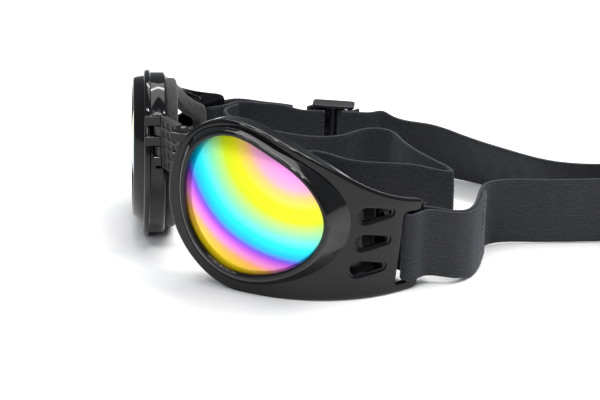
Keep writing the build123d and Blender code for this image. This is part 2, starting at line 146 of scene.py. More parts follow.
def even(points, count, closed=True):
    """The same line, with evenly spaced points."""
    p = np.array(points, float)
    if closed:
        p = np.vstack([p, p[:1]])
    run = np.concatenate([[0], np.cumsum(np.linalg.norm(np.diff(p, axis=0), axis=1))])
    spots = np.linspace(0, run[-1], count, endpoint=not closed)
    return np.stack([np.interp(spots, run, p[:, k]) for k in range(p.shape[1])], 1)


def soften(points, passes):
    """A closed line with its corners rounded."""
    p = np.array(points, float)
    for _ in range(passes):
        p = (np.roll(p, 1, 0) + 2 * p + np.roll(p, -1, 0)) / 4
    return p


def inward(points):
    """Unit normals that point into a closed line, which runs clockwise."""
    step = np.roll(points, -1, 0) - np.roll(points, 1, 0)
    step /= np.linalg.norm(step, axis=1)[:, None]
    return np.stack([step[:, 1], -step[:, 0]], 1)


def reach(centre, towards, loop):
    """Where the ray from the centre through a point crosses a closed line."""
    d = towards - centre
    a, b = loop - centre, np.roll(loop, -1, 0) - loop
    cross = d[0] * b[:, 1] - d[1] * b[:, 0]
    cross[abs(cross) < 1e-12] = 1e-12
    s = (a[:, 0] * b[:, 1] - a[:, 1] * b[:, 0]) / cross
    t = (a[:, 0] * d[1] - a[:, 1] * d[0]) / cross
    hits = s[(t >= -1e-9) & (t <= 1 + 1e-9) & (s > 0)]
    return centre + d * hits.min()


def egg(spread, count=200):
    """The lens opening, with each of its points moved out from the middle, square to the lens."""
    gaps = [spread] * len(LENS_POINTS) if np.isscalar(spread) else spread
    p = np.array(LENS_POINTS, float) - LENS_MIDDLE
    size = np.linalg.norm(p, axis=1)
    return smooth(LENS_MIDDLE + p * (1 + np.array(gaps) / size)[:, None], count)


def shell_edge(points, ends, inset):
    p = np.array(points, float)
    steps = np.vstack([ends[0], p[2:] - p[:-2], ends[1]])
    steps /= np.linalg.norm(steps, axis=1)[:, None]
    return smooth(p + inset * np.stack([steps[:, 1], -steps[:, 0]], 1), 160, ends)


def shell_loop(inset, end_arc, slant, count, passes):
    """The shell's outline, laid flat along the skin and cut off at a slanted end."""
    top = shell_edge(SHELL_TOP, ((0, 1), (0.86, -0.5)), inset)
    low = shell_edge(SHELL_LOW, ((-1, 0), (0, 1)), inset)
    flat = [(x_to_arc(x), y) for x, y in np.vstack([top, low[:-1]])]
    kept = [(a, y) for a, y in flat if a < end_arc + (y - TAIL_MID) * tan(slant)]
    return soften(even(kept, count), passes)


# ---- meshes ---------------------------------------------------------------------------------------------


def make_mesh(name, points, faces, material, smooth_angle=35.0):
    mesh = bpy.data.meshes.new(name)
    mesh.from_pydata([tuple(np.array(p) * MM) for p in points], [], faces)
    work = bmesh.new()
    work.from_mesh(mesh)
    bmesh.ops.recalc_face_normals(work, faces=work.faces)
    work.to_mesh(mesh)
    work.free()
    piece = bpy.data.objects.new(name, mesh)
    bpy.context.scene.collection.objects.link(piece)
    mesh.materials.append(material)
    mesh.polygons.foreach_set("use_smooth", [True] * len(mesh.polygons))
    mesh.set_sharp_from_angle(angle=radians(smooth_angle))
    return piece


def tube_faces(rings, size, wrap):
    """Quads between closed rings of one size; wrap also joins the last ring to the first."""
    faces = []
    for i in range(rings if wrap else rings - 1):
        for j in range(size):
            a, b = i * size, (i + 1) % rings * size
            faces.append((a + j, a + (j + 1) % size, b + (j + 1) % size, b + j))
    return faces


def swept(name, rings, material, wrap=True, angle=35.0):
    """A solid through closed rings of points, either round in a loop or capped at both ends."""
    rings = np.array(rings)
    count, size = rings.shape[:2]
    faces = tube_faces(count, size, wrap)
    if not wrap:
        faces += [tuple(range(size)), tuple(reversed(range((count - 1) * size, count * size)))]
    return make_mesh(name, rings.reshape(-1, 3), faces, material, angle)


def apply_modifiers(piece):
    bpy.context.view_layer.update()
    result = bpy.data.meshes.new_from_object(piece.evaluated_get(bpy.context.evaluated_depsgraph_get()))
    piece.modifiers.clear()
    piece.data = result
    return piece


def cut(piece, cutters):
    """Takes closed shapes out of a piece."""
    for cutter in cutters:
        modifier = piece.modifiers.new("cut", "BOOLEAN")
        modifier.operation, modifier.solver, modifier.object = "DIFFERENCE", "EXACT", cutter
    apply_modifiers(piece)
    for cutter in cutters:
        bpy.data.objects.remove(cutter)
    piece.data.polygons.foreach_set("use_smooth", [True] * len(piece.data.polygons))
    piece.data.set_sharp_from_angle(angle=radians(35))
    return piece


def bevel(piece, width, segments=3, angle=35.0):
    modifier = piece.modifiers.new("bevel", "BEVEL")
    modifier.width, modifier.segments, modifier.angle_limit = width * MM, segments, radians(angle)
    modifier.harden_normals = False
    apply_modifiers(piece)
    piece.data.polygons.foreach_set("use_smooth", [True] * len(piece.data.polygons))
    piece.data.set_sharp_from_angle(angle=radians(50))
    return piece


# ---- materials ------------------------------------------------------------------------------------------


class Nodes:
    """A material's node tree, with short calls for the nodes that are used here."""

    def __init__(self, name, base=None, roughness=0.5, metallic=0.0, **sockets):
        self.material = bpy.data.materials.new(name)
        self.material.use_nodes = True
        self.tree = self.material.node_tree
        self.shader = self.tree.nodes["Principled BSDF"]
        if base:
            self.shader.inputs["Base Color"].default_value = (*base, 1)
        self.shader.inputs["Roughness"].default_value = roughness
        self.shader.inputs["Metallic"].default_value = metallic
        for socket, value in sockets.items():
            self.shader.inputs[socket.replace("_", " ")].default_value = value

    def add(self, kind, values=None, **settings):
        node = self.tree.nodes.new("ShaderNode" + kind)
        for key, value in settings.items():
            setattr(node, key, value)
        for key, value in (values or {}).items():
            if isinstance(value, bpy.types.NodeSocket):
                self.tree.links.new(value, node.inputs[key])
            else:
                node.inputs[key].default_value = value
        return node

    def math(self, operation, a, b=0.0, c=0.0):
        return self.add("Math", {0: a, 1: b, 2: c}, operation=operation).outputs[0]

    def spread(self, value, low, high):
        """A 0 to 1 value, carried to another range."""
        return self.math("MULTIPLY_ADD", value, high - low, low)

    def ramp(self, value, *stops):
        node = self.add("ValToRGB", {0: value})
        elements = node.color_ramp.elements
        for i, (place, colour) in enumerate(stops):
            element = elements[i] if i < 2 else elements.new(place)
            element.position = place
            element.color = (*colour, 1)
        return node.outputs[0]

    def noise(self, scale, detail=4.0, vector=None):
        values = {"Scale": scale, "Detail": detail}
        values["Vector"] = vector or self.place()
        return self.add("TexNoise", values).outputs["Fac"]

    def place(self):
        return self.add("TexCoord").outputs["Object"]

    def uv(self):
        return self.add("TexCoord").outputs["UV"]

    def link(self, output, socket):
        self.tree.links.new(output, self.shader.inputs[socket])

    def bump(self, height, distance, strength=1.0):
        node = self.add("Bump", {"Height": height, "Distance": distance, "Strength": strength})
        self.link(node.outputs[0], "Normal")


def gloss_plastic():
    """Glossy black moulding, with faint haze and finger marks."""
    n = Nodes("gloss_black", Specular_IOR_Level=0.32)
    n.link(n.spread(n.noise(90.0, 5.0), 0.04, 0.13), "Roughness")
    n.link(n.ramp(n.noise(35.0, 3.0), (0.3, (0.002, 0.002, 0.0025)), (0.75, (0.005, 0.005, 0.006))), "Base Color")
    n.bump(n.noise(240.0, 2.0), 0.00002, 0.25)
    return n.material


RAINBOW = (  # distance from the middle of the bands, and colour
    (13.0, (0.96, 0.33, 0.86)),
    (17.5, (0.96, 0.42, 0.62)),
    (20.3, (0.96, 0.58, 0.18)),
    (24.5, (0.86, 0.78, 0.004)),
    (29.0, (0.64, 0.84, 0.005)),
    (34.2, (0.24, 0.82, 0.42)),
    (39.0, (0.0, 0.78, 0.98)),
    (42.5, (0.0, 0.46, 0.90)),
    (44.6, (0.15, 0.08, 0.72)),
    (46.2, (0.55, 0.10, 0.74)),
    (48.4, (0.90, 0.26, 0.66)),
    (51.0, (0.98, 0.48, 0.10)),
    (54.5, (1.0, 0.72, 0.01)),
    (62.0, (0.96, 0.80, 0.01)),
)
RAINBOW_MIDDLE = (46.0, 59.0)  # square to the lens
RAINBOW_REACH = 64.0
RIB = 0.9  # pitch of the webbing's ribs and rows


def mirror_lens(side):
    """A mirror coating, whose thickness and so whose colour runs in arcs about a point over the lens's top."""
    n = Nodes(f"rainbow_mirror_{SIDES[side]}", None, 0.1, 0.45)
    middle = square_on(*RAINBOW_MIDDLE, -LENS_APEX, side) * MM
    away = n.add("VectorMath", {0: n.place(), 1: tuple(middle)}, operation="DISTANCE").outputs["Value"]
    wander = n.spread(n.noise(26.0, 1.0), -0.02, 0.02)
    share = n.math("ADD", n.math("DIVIDE", away, RAINBOW_REACH * MM), wander)
    n.link(n.ramp(share, *((reach_mm / RAINBOW_REACH, colour) for reach_mm, colour in RAINBOW)), "Base Color")
    n.link(n.spread(n.noise(160.0, 4.0), 0.05, 0.12), "Roughness")
    n.bump(n.noise(60.0, 2.0), 0.00002, 0.2)
    return n.material


def satin_plastic(name, shade, grain=900.0, depth=0.00006, rough=(0.38, 0.6)):
    n = Nodes(name, shade, 0.45)
    n.link(n.spread(n.noise(grain / 4, 5.0), *rough), "Roughness")
    light = tuple(min(1.0, c * 1.7) for c in shade)
    n.link(n.ramp(n.noise(grain / 9, 4.0), (0.35, shade), (0.8, light)), "Base Color")
    n.bump(n.noise(grain, 2.0), depth, 0.6)
    return n.material


def webbing():
    """Knitted elastic: fine ribs along it, crossed by the knit's rows, coloured by its bump height: painted shade in
    troughs, paler painted crests.
    """
    n = Nodes("woven_elastic", None, 0.85, Sheen_Weight=0.12, Sheen_Roughness=0.5)
    n.shader.inputs["Sheen Tint"].default_value = (0.7, 0.74, 0.9, 1)
    spot = n.add("SeparateXYZ", {0: n.uv()})
    ribs = n.math("ABSOLUTE", n.math("SINE", n.math("MULTIPLY", spot.outputs[1], pi / RIB)))
    shift = n.math("MULTIPLY", n.math("FLOOR", n.math("DIVIDE", spot.outputs[1], RIB)), RIB / 2)
    rows = n.math("ABSOLUTE", n.math("SINE", n.math("MULTIPLY", n.math("ADD", spot.outputs[0], shift), pi / RIB)))
    knit = n.math("MULTIPLY", ribs, rows)
    fuzz = n.add("TexNoise", {"Vector": n.uv(), "Scale": 1.1, "Detail": 5.0, "Roughness": 0.75}).outputs["Fac"]
    height = n.math("ADD", n.math("MULTIPLY", knit, 0.4), fuzz)
    # colour by the bump's height: painted shade in the knit's grooves, painted highlight on rib tops and raised fuzz
    # flecks
    knit_painted_shade = ((0.45, (0.0015, 0.0016, 0.0022)), (0.72, (0.0055, 0.006, 0.0085)), (1.0, (0.036, 0.039, 0.05)))
    n.link(n.ramp(height, *knit_painted_shade), "Base Color")
    n.link(n.spread(fuzz, 0.7, 0.95), "Roughness")
    n.bump(height, 0.0003, 0.9)
    return n.material


def thread():
    n = Nodes("black_thread", None, 0.55, Sheen_Weight=0.3)
    n.link(n.ramp(n.noise(1500.0, 3.0), (0.3, (0.02, 0.02, 0.024)), (0.8, (0.11, 0.115, 0.13))), "Base Color")
    n.bump(n.noise(2500.0, 2.0), 0.00008)
    return n.material


def foam():
    """Fleece on foam: a soft pile with small pits."""
    n = Nodes("fleece_foam", None, 0.95, Sheen_Weight=0.15, Sheen_Roughness=0.6)
    pile = n.add("TexVoronoi", {"Vector": n.place(), "Scale": 1300.0}).outputs["Distance"]
    tufts = n.noise(420.0, 6.0)
    height = n.math("ADD", n.math("MULTIPLY", pile, 0.5), tufts)
    # colour from the tufts that also make the bump: painted shade between the tufts, lighter painted tuft tops
    n.link(n.ramp(tufts, (0.3, (0.006, 0.006, 0.007)), (0.75, (0.022, 0.022, 0.024))), "Base Color")
    n.bump(height, 0.0003, 0.7)
    return n.material


def steel():
    n = Nodes("drawn_steel", (0.6, 0.6, 0.6), 0.28, 1.0)
    streaks = n.add("Mapping", {"Vector": n.place(), "Scale": (1.0, 1.0, 0.05)}).outputs[0]
    n.link(n.spread(n.noise(3000.0, 2.0, streaks), 0.2, 0.4), "Roughness")
    n.link(n.ramp(n.noise(500.0), (0.3, (0.5, 0.5, 0.5)), (0.8, (0.7, 0.7, 0.69))), "Base Color")
    return n.material


def table_top():
    n = Nodes("white_table", None, 0.35)
    n.link(n.ramp(n.noise(12.0, 3.0), (0.3, (0.86, 0.86, 0.865)), (0.8, (0.9, 0.9, 0.9))), "Base Color")
    n.link(n.spread(n.noise(60.0), 0.3, 0.42), "Roughness")
    return n.material


GLOSS = gloss_plastic()
LENS = {1: mirror_lens(1), -1: mirror_lens(-1)}
BRIDGE = satin_plastic("bridge_satin", (0.016, 0.016, 0.017))
ADJUSTER = satin_plastic("adjuster_satin", (0.01, 0.01, 0.012), rough=(0.3, 0.5))
RUBBER = satin_plastic("gasket_rubber", (0.01, 0.01, 0.01), rough=(0.6, 0.8))
WEBBING, THREAD, FOAM, STEEL = webbing(), thread(), foam(), steel()

# ---- camera, floor and lights ----------------------------------------------------------------------------

CAMERA_TURN, CAMERA_DIP = radians(54.8), radians(23.27)
CAMERA_SPOT = np.array([590.4, -359.5, 321.5])
LENS_MM = 133.08
CEILING_LAMPS = 5


def camera():
    view = np.array([-sin(CAMERA_TURN) * cos(CAMERA_DIP), cos(CAMERA_TURN) * cos(CAMERA_DIP), -sin(CAMERA_DIP)])
    right = np.array([cos(CAMERA_TURN), sin(CAMERA_TURN), 0])
    data = bpy.data.cameras.new("camera")
    data.lens, data.sensor_width, data.clip_start = LENS_MM, 36.0, 0.01
    eye = bpy.data.objects.new("camera", data)
    pose = Matrix(np.column_stack([right, np.cross(right, view), -view]).tolist()).to_4x4()
    pose.translation = Vector(CAMERA_SPOT * MM)
    eye.matrix_world = pose
    bpy.context.scene.collection.objects.link(eye)
    bpy.context.scene.camera = eye


def lamp(name, spot, aim, size, power, colour=(1, 1, 1)):
    data = bpy.data.lights.new(name, "AREA")
    data.shape, data.size, data.size_y, data.energy, data.color = "RECTANGLE", size[0], size[1], power, colour
    light = bpy.data.objects.new(name, data)
    light.location = spot
    light.rotation_euler = (Vector(aim) - Vector(spot)).to_track_quat("-Z", "Y").to_euler()
    bpy.context.scene.collection.objects.link(light)


def studio():
    size = 6.0
    mesh = bpy.data.meshes.new("floor")
    mesh.from_pydata([(-size, -size, 0), (size, -size, 0), (size, size, 0), (-size, size, 0)], [], [(0, 1, 2, 3)])
    floor = bpy.data.objects.new("floor", mesh)
    mesh.materials.append(table_top())
    bpy.context.scene.collection.objects.link(floor)
    world = bpy.data.worlds.new("studio")
    world.use_nodes = True
    world.node_tree.nodes["Background"].inputs[0].default_value = (0.9, 0.94, 1.0, 1)
    world.node_tree.nodes["Background"].inputs[1].default_value = 0.3
    bpy.context.scene.world = world
    bpy.context.scene.view_settings.view_transform = "Standard"
    lamp("soft_top", (0.0, 0.5, 1.2), (0, 0.08, 0), (1.5, 0.8), 15.0, (1.0, 0.985, 0.96))
    lamp("soft_front", (0.7, -1.1, 0.9), (0, 0.05, 0), (0.9, 0.5), 8.0)
    lamp("rim_strip", (-0.15, 0.4, 1.0), (0, 0.05, 0), (1.4, 0.07), 7.0)
    for k in range(CEILING_LAMPS):
        spot = (0.1 + 0.2 * k, -0.7 + 0.22 * k, 1.3)
        lamp(f"ceiling_{k}", spot, (0, 0, 0), (0.09, 0.09), 2.2)


camera()
studio()

# ---- the cups -------------------------------------------------------------------------------------------

STATIONS = 220
CENTRE = np.array([30.0, 22.0])  # every outline of the cup is drawn round this point, laid flat along the skin
TAIL_ARC = SLOT_ARC + SLOT_W + BAR_W
rim = shell_loop(0.0, TAIL_ARC, SLOT_SLANT, STATIONS, 4)
rim_in = inward(rim)


def by_station(loop):
    """A closed line's points at the stations of the shell's rim."""
    return np.array([reach(CENTRE, p, loop) for p in rim])


def egg_stations(spread):
    """An egg's points at the stations, square to the lens."""
    loop = egg(spread, 300)
    flat = np.array([(x_to_arc(x), y) for x, y in loop])
    return np.array([(arc_to_x(a), y) for a, y in by_station(flat)])


collar_out = by_station(shell_loop(COLLAR_INSET, COLLAR_END, 0, 300, 4))
collar_in = by_station(shell_loop(COLLAR_INSET + WALL, COLLAR_END - WALL, 0, 300, 4))
pocket = egg_stations(0.7)
seat_in = egg_stations(-SEAT_W)
crest_out = egg_stations(BEZEL_CREST)
flank_foot = egg_stations(BEZEL_FLARE)
lens_edge = egg_stations(0.0)
lens_rim = egg_stations(0.55)
EDGE_R = 1.1  # radius of the shell's front edge


def shell_section(i, side):
    """One closed section of the shell, from the lens pocket out over the rim and back inside."""
    out, n = rim[i], rim_in[i]
    start = np.array([x_to_arc(pocket[i][0]), pocket[i][1]])
    points = [on_skin(*(start + (out + n * EDGE_R - start) * k / 14), 0, side) for k in range(15)]
    for k in range(1, 6):
        turn = pi / 2 * k / 5
        points.append(on_skin(*(out + n * EDGE_R * (1 - sin(turn))), EDGE_R * (1 - cos(turn)), side))
    points += [on_skin(*out, WALL - 0.3, side), on_skin(*(out + n * 0.3), WALL, side)]
    for where, depth in ((collar_out, WALL + 0.1), (collar_out, (WALL + COLLAR_D) / 2), (collar_out, COLLAR_D - 0.5)):
        points.append(on_skin(*where[i], depth, side))
    lip = (collar_out[i] + collar_in[i]) / 2
    points += [on_skin(*(lip + (collar_out[i] - lip) * 0.6), COLLAR_D, side)]
    points += [on_skin(*(lip + (collar_in[i] - lip) * 0.6), COLLAR_D, side)]
    for depth in (COLLAR_D - 0.5, (WALL + COLLAR_D) / 2, WALL + 0.05):
        points.append(on_skin(*collar_in[i], depth, side))
    seat_out = np.array([x_to_arc(pocket[i][0]), pocket[i][1]])
    far = max(SEAT_REAR, skin_depth(pocket[i][0]) + WALL)
    points += [on_skin(*(collar_in[i] + (seat_out - collar_in[i]) * k / 4), WALL, side) for k in range(1, 4)]
    points += [square_on(*pocket[i], far, side), square_on(*seat_in[i], far, side)]
    points += [square_on(*seat_in[i], SEAT_FRONT, side), square_on(*pocket[i], SEAT_FRONT, side)]
    return points


def vent_shape(arc, height, grow, depth, side):
    """A drop-shaped cutter, blunt towards the nose."""
    big, small = VENT_H / 2 + grow, VENT_TIP_R + grow
    a, b = VENT_H / 2 - VENT_L / 2, VENT_L / 2 - VENT_TIP_R
    lean = asin((big - small) / (b - a))
    line = []
    ends = ((a, big, pi / 2 - lean, 3 * pi / 2 + lean), (b, small, -pi / 2 + lean, pi / 2 - lean))
    for middle, radius, start, stop in ends:
        for k in range(17):
            turn = start + (stop - start) * k / 16
            line.append((arc + middle + radius * cos(turn), height + radius * sin(turn)))
    return [[on_skin(x, y, d, side) for x, y in line] for d in (-3.0, depth)]


def slot_shape(side):
    half_w, half_l, corner = SLOT_W / 2, SLOT_L / 2, 1.2
    line = []
    for cx, cy, start in ((1, 1, 0), (-1, 1, 1), (-1, -1, 2), (1, -1, 3)):
        for k in range(7):
            turn = pi / 2 * (start + k / 6)
            x, y = cx * (half_w - corner) + corner * cos(turn), cy * (half_l - corner) + corner * sin(turn)
            line.append((SLOT_ARC + half_w + x + y * tan(SLOT_SLANT), TAIL_MID + y))
    return [[on_skin(x, y, d, side) for x, y in line] for d in (-4.0, WALL + 4.0)]


HINGE_LOW, HINGE_HIGH, KNUCKLES, KNUCKLE_GAP = 34.4, 52.8, 5, 0.3
PIN_X, PIN_Y, BARREL_R, HINGE_ROOM = 7.5, 4.3, 2.0, 3.0
WEB_L, WEB_OUTWARD = 5.0, (0.0, 0.0, 3.8)


def hinge_room(side, radius, low, high):
    line = [(side * PIN_X + radius * cos(2 * pi * k / 48), PIN_Y + radius * sin(2 * pi * k / 48)) for k in range(48)]
    return [[(x, y, z) for x, y in line] for z in (low, high)]


def below_floor():
    line = [(-90, -20), (90, -20), (90, 90), (-90, 90)]
    return [[(x, y, z) for x, y in line] for z in (-8.0, 0.0)]


def shell(side):
    piece = swept(f"{SIDES[side]}_shell_moulding", [shell_section(i, side) for i in range(STATIONS)], GLOSS)
    shapes = [hinge_room(side, HINGE_ROOM, HINGE_LOW - 0.5, HINGE_HIGH + 0.5), slot_shape(side), below_floor()]
    for arc, height in VENTS:
        shapes += [vent_shape(arc, height, VENT_STEP, VENT_STEP, side), vent_shape(arc, height, 0.0, 2 * WALL, side)]
    cut(piece, [swept("cutter", shape, GLOSS, wrap=False) for shape in shapes])
    bevel(piece, 0.22, 3, 40)
    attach(piece, f"{SIDES[side]}_eyecup")
    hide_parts(f"{SIDES[side]}_shell")


def knuckle_line(outward):
    """A cup knuckle seen from above: a barrel, and a web that runs forward into the shell."""
    stop = 0.0 if outward > BARREL_R else -pi / 2
    line = [(outward, -WEB_L), (-BARREL_R, -WEB_L)]
    line += [(BARREL_R * cos(t), BARREL_R * sin(t)) for t in np.linspace(pi, stop, 28)]
    if outward > BARREL_R:
        line.append((outward, 0.0))
    return [along[:2] * x + level_back[:2] * y for x, y in line]


def knuckles(side):
    """The cup's three hinge knuckles."""
    points, faces = [], []
    pitch = (HINGE_HIGH - HINGE_LOW) / KNUCKLES
    round_off = 0.2
    for knuckle, outward in zip(range(0, KNUCKLES, 2), WEB_OUTWARD):
        low = HINGE_LOW + knuckle * pitch + KNUCKLE_GAP / 2
        high = low + pitch - KNUCKLE_GAP
        line = knuckle_line(outward)
        base, size = len(points), len(line)
        for z, shrink in ((low, 0.9), (low + round_off, 1.0), (high - round_off, 1.0), (high, 0.9)):
            points += [(side * (PIN_X + x * shrink), PIN_Y + y * shrink, z) for x, y in line]
        faces += [tuple(base + k for k in face) for face in tube_faces(4, size, False)]
        faces += [tuple(base + k for k in range(size)), tuple(reversed(range(base + 3 * size, base + 4 * size)))]
    piece = make_mesh(f"{SIDES[side]}_hinge_knuckles", points, faces, GLOSS)
    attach(piece, f"{SIDES[side]}_eyecup")


def ring(side):
    """The lens ring: a narrow bead at the nose that widens to a sloped crescent at the temple."""
    sections = []
    for i in range(STATIONS):
        low, high = 0.0, 1.0
        for _ in range(24):
            mid = (low + high) / 2
            spot = crest_out[i] + (flank_foot[i] - crest_out[i]) * mid
            if -BEZEL_H + (BEZEL_H + BEZEL_BASE_D) * mid < skin_depth(spot[0]):
                low = mid
            else:
                high = mid
        foot_share = low
        edge, crest = lens_edge[i], crest_out[i]
        flat = crest - edge
        section = [(edge, -1.95), (edge + flat * 0.0, -2.9), (edge + flat * 0.12, -3.35), (edge + flat * 0.32, -3.55)]
        section += [(edge + flat * 0.5, -3.6), (edge + flat * 0.74, -3.55), (edge + flat * 0.93, -3.35)]
        for k in range(1, 9):
            share = foot_share * k / 8
            bulge = 0.25 * sin(pi * k / 8)
            spot = crest + (flank_foot[i] - crest) * (share + bulge * 0.08)
            section.append((spot, -BEZEL_H + 0.35 + (BEZEL_H - 0.35 + BEZEL_BASE_D) * share))
        foot, foot_d = section[-1]
        section += [(pocket[i], max(foot_d, skin_depth(pocket[i][0]) + 0.3)), (pocket[i], -1.95)]
        sections.append([square_on(*p, d, side) for p, d in section])
    piece = swept(f"{SIDES[side]}_bezel", sections, GLOSS, angle=40)
    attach(piece, f"{SIDES[side]}_eyecup")
    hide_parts(f"{SIDES[side]}_lens_ring")


def lens(side):
    """The mirror lens: two spherical faces and a round edge."""
    loops = []
    levels = [(k / 22, 0) for k in range(1, 23)]

    def face(share, radius, shift):
        out = []
        for p in lens_rim:
            spot = LENS_MIDDLE + (p - LENS_MIDDLE) * share
            away = np.linalg.norm(spot - LENS_MIDDLE)
            out.append(square_on(*spot, -LENS_APEX + shift + radius - (radius**2 - away**2) ** 0.5, side))
        return out

    for share, _ in levels:
        loops.append(face(share, LENS_R, 0))
    for share, _ in reversed(levels):
        loops.append(face(share, LENS_R - LENS_T, LENS_T))
    count, size = len(loops), STATIONS
    points = [p for loop in loops for p in loop]
    points += [square_on(*LENS_MIDDLE, -LENS_APEX, side), square_on(*LENS_MIDDLE, -LENS_APEX + LENS_T, side)]
    faces = tube_faces(count, size, False)
    front, rear, last = len(points) - 2, len(points) - 1, (count - 1) * size
    faces += [(front, (j + 1) % size, j) for j in range(size)]
    faces += [(rear, last + j, last + (j + 1) % size) for j in range(size)]
    piece = make_mesh(f"{SIDES[side]}_mirror_lens", points, faces, LENS[side])
    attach(piece, f"{SIDES[side]}_eyecup")
    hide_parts(f"{SIDES[side]}_lens")


def face_foam(side):
    """The foam round the eye: full, with soft edges, glued to the collar."""
    outer = by_station(shell_loop(FOAM_INSET, COLLAR_END - 1, 0, 300, 8))
    inner = by_station(shell_loop(FOAM_INSET + FOAM_W, COLLAR_END - FOAM_W - 1, 0, 300, 8))
    sections = []
    for a, b in zip(outer, inner):
        middle, half = (a + b) / 2, (a - b) / 2
        section = []
        for k in range(20):
            turn = 2 * pi * k / 20
            bulge = np.sign(cos(turn)) * abs(cos(turn)) ** 0.55
            rise = np.sign(sin(turn)) * abs(sin(turn)) ** 0.6
            depth = (COLLAR_D + FOAM_D) / 2 + 0.1 + (FOAM_D - COLLAR_D) / 2 * rise
            section.append(on_skin(*(middle + half * bulge), depth, side))
        sections.append(section)
    piece = swept(f"{SIDES[side]}_foam_pad", sections, FOAM)
    room = swept("cutter", hinge_room(side, HINGE_ROOM + 0.4, HINGE_LOW - 1, HINGE_HIGH + 1), FOAM, wrap=False)
    cut(piece, [room])
    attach(piece, f"{SIDES[side]}_eyecup")
    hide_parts(f"{SIDES[side]}_face_foam")


def from_cad(name, node, material, width, body):
    """A copy of a CAD piece with its edges rounded over."""
    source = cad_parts[node]
    mesh = source.data.copy()
    work = bmesh.new()
    work.from_mesh(mesh)
    bmesh.ops.remove_doubles(work, verts=work.verts, dist=1e-6)
    bmesh.ops.dissolve_limit(work, angle_limit=radians(1.5), verts=work.verts, edges=work.edges)
    work.to_mesh(mesh)
    work.free()
    mesh.materials.clear()
    mesh.materials.append(material)
    piece = bpy.data.objects.new(name, mesh)
    bpy.context.scene.collection.objects.link(piece)
    bevel(piece, width, 3, 30)
    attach(piece, body)
    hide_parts(node)
    return piece


for side in SIDES:
    shell(side)
    knuckles(side)
    ring(side)
    lens(side)
    face_foam(side)
    for node, material in (("lens_gasket", RUBBER), ("hinge_pin", STEEL)):
        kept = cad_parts[f"{SIDES[side]}_{node}"]
        kept.data.materials.clear()
        kept.data.materials.append(material)

from_cad("waffle_bridge", "bridge", BRIDGE, 0.22, "bridge")
from_cad("adjuster_frame", "strap_adjuster", ADJUSTER, 0.35, "adjuster")

# ---- straps ---------------------------------------------------------------------------------------------

STRAP_W, STRAP_T, STRAP_LIFT, STRAP_PLAY = 24.0, 1.2, 4.5, 0.4
BAR_ARC = SLOT_ARC + SLOT_W + BAR_W / 2
LAYER_GAP = WALL / 2 + STRAP_PLAY + STRAP_T / 2
HAIRPIN = -BAR_W / 2 - SLOT_L / 2 * tan(SLOT_SLANT) - STRAP_PLAY - STRAP_T / 2


def rail(x, y, z, tx=-0.4, ty=0.7):
    """The lower and the upper edge of a strap at one place; tx and ty say how far its top leans."""
    return (x, y, z, x + tx, y + ty, z + (STRAP_W**2 - tx**2 - ty**2) ** 0.5)


def at_bar(ahead, outward, side=1):
    """The same, at the cup's own bar."""
    turn = (BAR_ARC - FLAT_RUN) / BEND_R
    x = FLAT_RUN + (BEND_R - WALL / 2) * sin(turn) + ahead * cos(turn) + outward * sin(turn)
    y = BEND_R - (BEND_R - WALL / 2) * cos(turn) + ahead * sin(turn) - outward * cos(turn)
    return (*square_on(x, STRAP_LIFT, y, side), *square_on(x, STRAP_LIFT + STRAP_W, y, side))


def bar_turn(side):
    """The strap's way out over the bar, through the slot and back inside it."""
    spots = ((2.8, LAYER_GAP), (-1.5, LAYER_GAP), (HAIRPIN + 0.6, LAYER_GAP * 0.75), (HAIRPIN, 0))
    spots += ((HAIRPIN + 0.6, -LAYER_GAP * 0.75), (-1.5, -LAYER_GAP), (2.8, -LAYER_GAP))
    return [at_bar(*spot, side) for spot in spots]


def strap_section():
    """The strap's own section: across it, and through its thickness, with round edges."""
    half = STRAP_T / 2
    line = [(v, half) for v in np.linspace(half, STRAP_W - half, 25)]
    line += [(STRAP_W - half + half * sin(t), half * cos(t)) for t in (pi / 4, pi / 2, 3 * pi / 4)]
    line += [(v, -half) for v in np.linspace(STRAP_W - half, half, 25)]
    line += [(half - half * sin(t), -half * cos(t)) for t in (pi / 4, pi / 2, 3 * pi / 4)]
    return line


def strap(name, rails, step=0.7):
    """A strap through its rails, with the length along it and the way across it as its UV map."""
    rails = np.array(rails, float)
    ends = (rails[1] - rails[0], rails[-1] - rails[-2])
    rough_length = np.linalg.norm(np.diff(rails[:, :3], axis=0), axis=1).sum()
    count = int(rough_length / step)
    line = even(smooth(rails, count * 3, ends), count, closed=False)
    low, high = line[:, :3], line[:, 3:]
    middle = (low + high) / 2
    ahead = np.gradient(middle, axis=0)
    run = np.concatenate([[0], np.cumsum(np.linalg.norm(np.diff(middle, axis=0), axis=1))])
    section = strap_section()
    sections = []
    for k in range(count):
        across = high[k] - low[k]
        across /= np.linalg.norm(across)
        face = np.cross(ahead[k], across)
        face /= np.linalg.norm(face)
        ripple = 0.12 * sin(run[k] * 0.31) + 0.08 * sin(run[k] * 0.83 + 1.0)
        sections.append([low[k] + across * v + face * (w + ripple * sin(pi * v / STRAP_W)) for v, w in section])
    piece = swept(name, sections, WEBBING, wrap=False, angle=60)
    uv = piece.data.uv_layers.new(name="weave")
    size = len(section)
    for loop in piece.data.loops:
        k, j = divmod(loop.vertex_index, size)
        uv.data[loop.index].uv = (run[k], section[j][0])
    return piece, line


STITCHES, STITCH_PITCH, STITCH_R = 20, 1.15, 0.3


